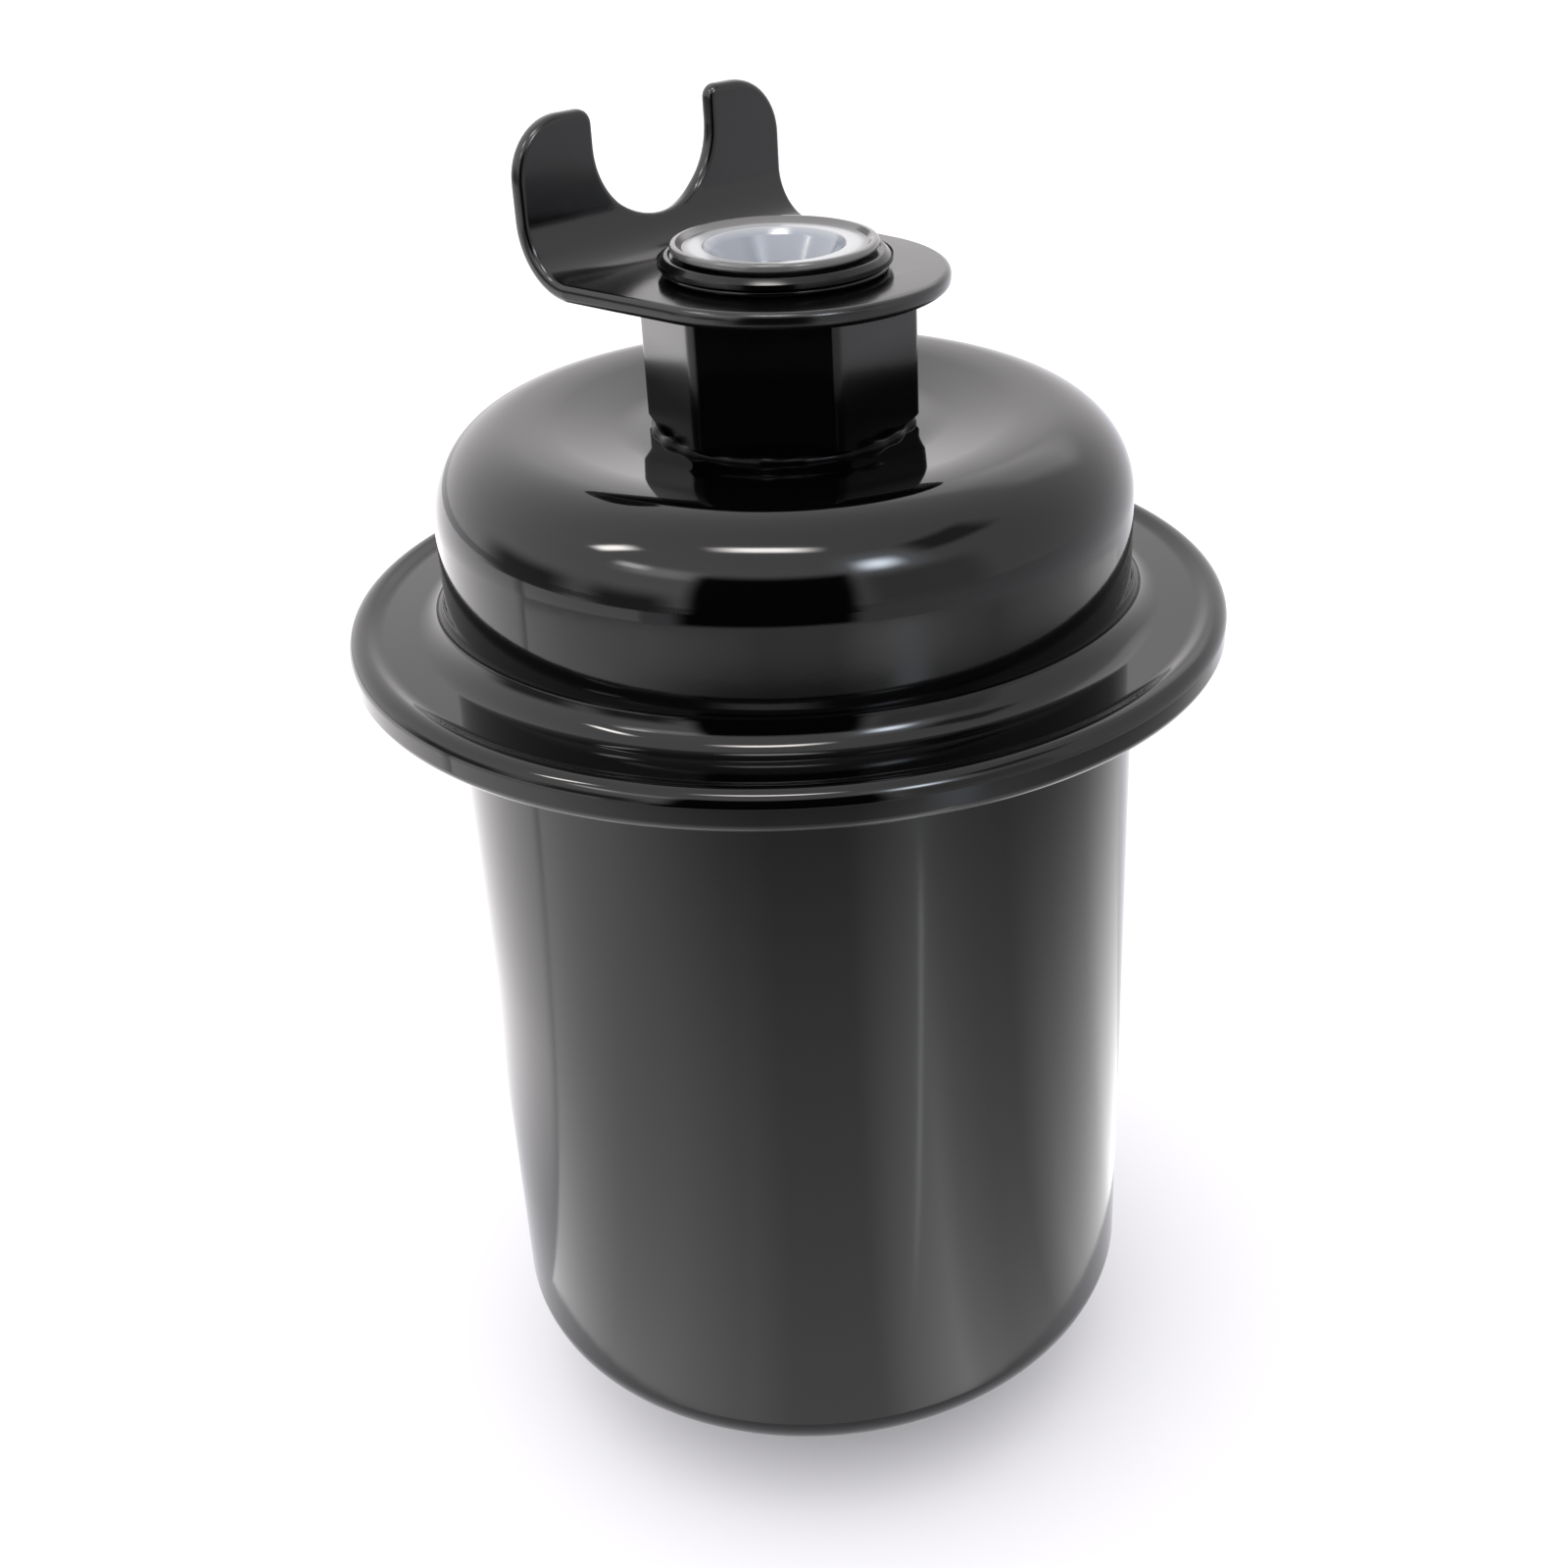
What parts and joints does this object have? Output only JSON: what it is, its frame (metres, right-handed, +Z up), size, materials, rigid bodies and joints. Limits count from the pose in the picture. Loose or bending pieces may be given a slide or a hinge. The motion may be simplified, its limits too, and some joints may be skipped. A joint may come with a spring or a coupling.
{
  "type": "in-line fuel filter",
  "caption": "Steel-can in-line fuel filter: domed cover hemmed to a drawn can, hexagonal banjo port with a fork bracket on top, threaded inlet port below, pleated element inside.",
  "frame": {"origin": "on the can's axis, in the bottom face of the inlet port's hexagon, which the filter stands on", "axes": "+Z up along the can's axis, inlet to outlet; -Y towards the side that shows the fork bracket at the back left"},
  "size_m": [0.077, 0.077, 0.1256],
  "materials": {
    "can_paint": "gloss",
    "cover_paint": "gloss",
    "port_paint": "gloss",
    "bracket_paint": "gloss",
    "plug_plastic": "satin",
    "seat_brass": "satin",
    "tinned_steel": "satin",
    "spring_steel": "satin",
    "potting": "satin",
    "filter_paper": "matte",
    "nitrile": "matte"
  },
  "bodies": {
    "filter": {"can": "can_paint", "cover": "cover_paint", "seam_gasket": "nitrile", "outlet_fitting": "port_paint", "banjo_bracket": "bracket_paint", "bracket_washer": "port_paint", "inlet_fitting": "port_paint", "inlet_flare_seat": "seat_brass", "inlet_diffuser": "tinned_steel", "element_spring": "spring_steel", "lower_end_cap": "tinned_steel", "lower_potting": "potting", "pleated_medium": "filter_paper", "media_seam_clip": "tinned_steel", "centre_tube": "tinned_steel", "upper_potting": "potting", "upper_end_cap": "tinned_steel", "outlet_grommet": "nitrile"},
    "outlet_plug_body": {"outlet_plug": "plug_plastic"},
    "inlet_plug_body": {"inlet_plug": "plug_plastic"}
  },
  "joints": [
    {"name": "outlet_plug_pull", "type": "slide", "parent": "filter", "child": "outlet_plug_body", "axis": [0, 0, 1], "range_m": [0, 0.025]},
    {"name": "inlet_plug_pull", "type": "slide", "parent": "filter", "child": "inlet_plug_body", "axis": [0, 0, -1], "range_m": [0, 0.02]}
  ]
}
